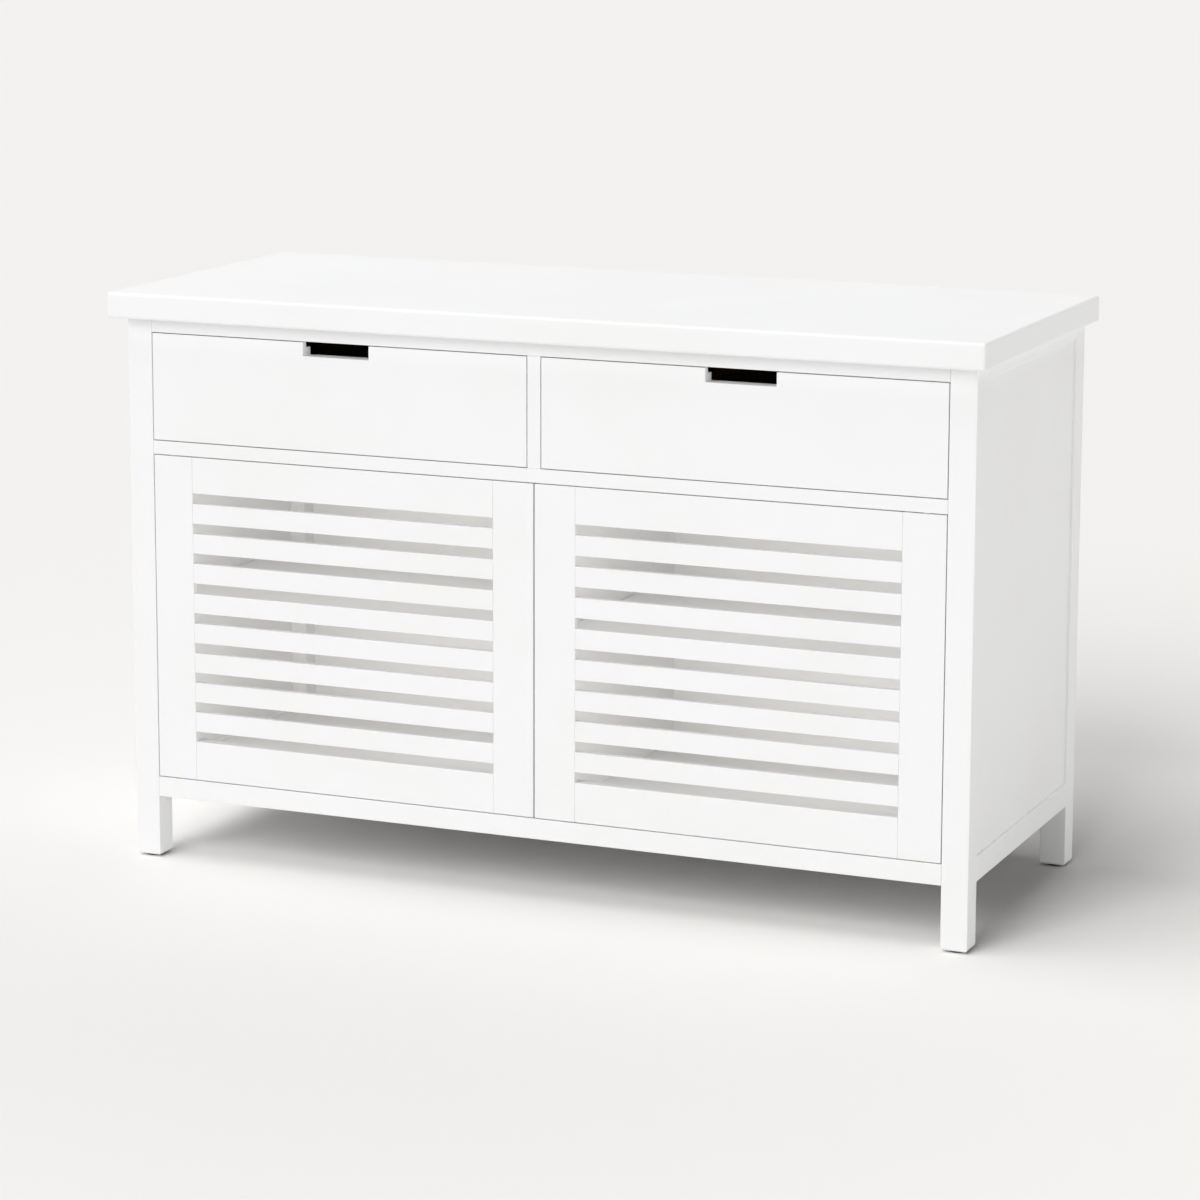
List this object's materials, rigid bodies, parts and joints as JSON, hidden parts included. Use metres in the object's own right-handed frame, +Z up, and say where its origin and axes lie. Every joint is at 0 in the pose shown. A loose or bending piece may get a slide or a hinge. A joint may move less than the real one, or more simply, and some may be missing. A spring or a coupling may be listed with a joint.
{
  "type": "louvred door cabinet",
  "caption": "Painted sideboard with finger-notch drawers on telescopic runners above slatted doors on pin pivots, on square post legs under an overhanging top.",
  "frame": {"origin": "on the floor under the middle of the worktop", "axes": "+Z up, +X to the right as seen from the front, -Y towards the front"},
  "size_m": [1.2, 0.5, 0.765],
  "materials": {
    "painted_wood": "satin white paint",
    "drawer_wood": "clear lacquer",
    "steel": "bright zinc plated",
    "brass": "turned",
    "glide_plastic": "matt",
    "catch_plastic": "matt"
  },
  "bodies": {
    "carcass": {"top_panel": "painted_wood", "front_left_post": "painted_wood", "front_right_post": "painted_wood", "rear_left_post": "painted_wood", "rear_right_post": "painted_wood", "front_top_rail": "painted_wood", "front_bottom_rail": "painted_wood", "rear_top_rail": "painted_wood", "rear_bottom_rail": "painted_wood", "left_top_rail": "painted_wood", "left_bottom_rail": "painted_wood", "right_top_rail": "painted_wood", "right_bottom_rail": "painted_wood", "left_side_panel": "painted_wood", "right_side_panel": "painted_wood", "back_panel": "painted_wood", "drawer_deck": "painted_wood", "drawer_divider": "painted_wood", "floor_panel": "painted_wood", "centre_partition": "painted_wood", "left_shelf": "painted_wood", "right_shelf": "painted_wood", "shelf_pins": "steel", "foot_glides": "glide_plastic", "carcass_screws": "steel", "pivot_bushes": "brass", "door_catches": "catch_plastic", "runner_fixed_channels": "steel"},
    "left_door": {"left_door_outer_stile": "painted_wood", "left_door_inner_stile": "painted_wood", "left_door_top_rail": "painted_wood", "left_door_bottom_rail": "painted_wood", "left_door_slats": "painted_wood", "left_door_pivot_pins": "steel", "left_door_strike_plate": "steel"},
    "left_drawer": {"left_drawer_face": "painted_wood", "left_drawer_box_front": "painted_wood", "left_drawer_outer_side": "drawer_wood", "left_drawer_inner_side": "drawer_wood", "left_drawer_back": "drawer_wood", "left_drawer_bottom": "drawer_wood", "left_drawer_face_screws": "steel", "left_drawer_runner_channels": "steel"},
    "left_runner_middle": {"left_runner_middle_channels": "steel"},
    "right_door": {"right_door_outer_stile": "painted_wood", "right_door_inner_stile": "painted_wood", "right_door_top_rail": "painted_wood", "right_door_bottom_rail": "painted_wood", "right_door_slats": "painted_wood", "right_door_pivot_pins": "steel", "right_door_strike_plate": "steel"},
    "right_drawer": {"right_drawer_face": "painted_wood", "right_drawer_box_front": "painted_wood", "right_drawer_outer_side": "drawer_wood", "right_drawer_inner_side": "drawer_wood", "right_drawer_back": "drawer_wood", "right_drawer_bottom": "drawer_wood", "right_drawer_face_screws": "steel", "right_drawer_runner_channels": "steel"},
    "right_runner_middle": {"right_runner_middle_channels": "steel"}
  },
  "joints": [
    {"name": "left_door_hinge", "type": "hinge", "parent": "carcass", "child": "left_door", "pos_m": [-0.5208, -0.217, 0.331], "axis": [0, 0, -1], "range_deg": [0, 110]},
    {"name": "left_drawer_slide", "type": "slide", "parent": "carcass", "child": "left_drawer", "axis": [0, -1, 0], "range_m": [0, 0.36]},
    {"name": "left_runner_slide", "type": "slide", "parent": "carcass", "child": "left_runner_middle", "axis": [0, -1, 0], "range_m": [0, 0.18]},
    {"name": "right_door_hinge", "type": "hinge", "parent": "carcass", "child": "right_door", "pos_m": [0.5208, -0.217, 0.331], "axis": [0, 0, 1], "range_deg": [0, 110]},
    {"name": "right_drawer_slide", "type": "slide", "parent": "carcass", "child": "right_drawer", "axis": [0, -1, 0], "range_m": [0, 0.36]},
    {"name": "right_runner_slide", "type": "slide", "parent": "carcass", "child": "right_runner_middle", "axis": [0, -1, 0], "range_m": [0, 0.18]}
  ],
  "couplings": [
    {"joint": "left_runner_slide", "follows": "left_drawer_slide", "ratio": 0.5},
    {"joint": "right_runner_slide", "follows": "right_drawer_slide", "ratio": 0.5}
  ]
}
